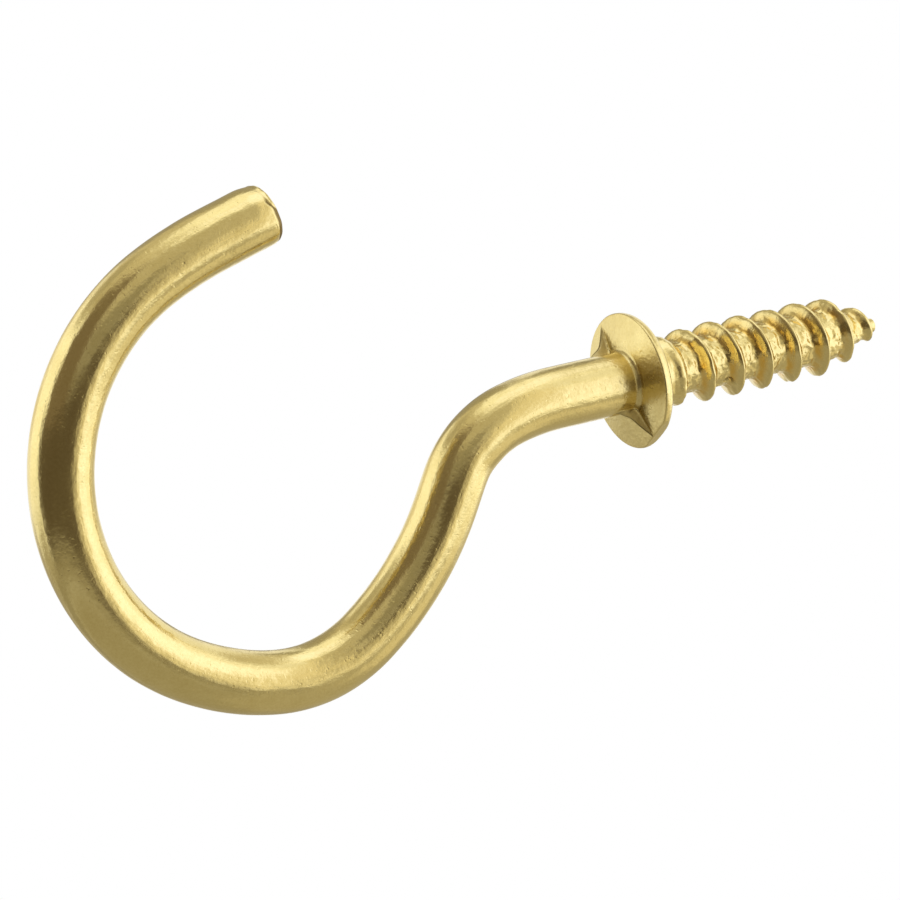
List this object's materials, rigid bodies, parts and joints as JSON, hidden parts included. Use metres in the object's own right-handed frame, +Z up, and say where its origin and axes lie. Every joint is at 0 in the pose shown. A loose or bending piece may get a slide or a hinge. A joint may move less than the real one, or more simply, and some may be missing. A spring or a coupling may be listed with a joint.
{
  "type": "cup hook",
  "caption": "Screw-in cup hook of round brass wire: open round hook, shoulder collar and a right-hand wood screw thread above it.",
  "frame": {"origin": "centre of the collar's seat face, which stops against the underside of the shelf, on the screw axis", "axes": "+Z up the screw to its point; the hook hangs below, flat in the XZ plane, bulging toward +X with its mouth and cut end at -X; Y is across the wire's plane"},
  "size_m": [0.0287, 0.0078, 0.0541],
  "materials": {
    "brass_plate": "satin-bright brass plate over drawn wire"
  },
  "bodies": {
    "root": {"cup_hook": "brass_plate"}
  },
  "joints": []
}
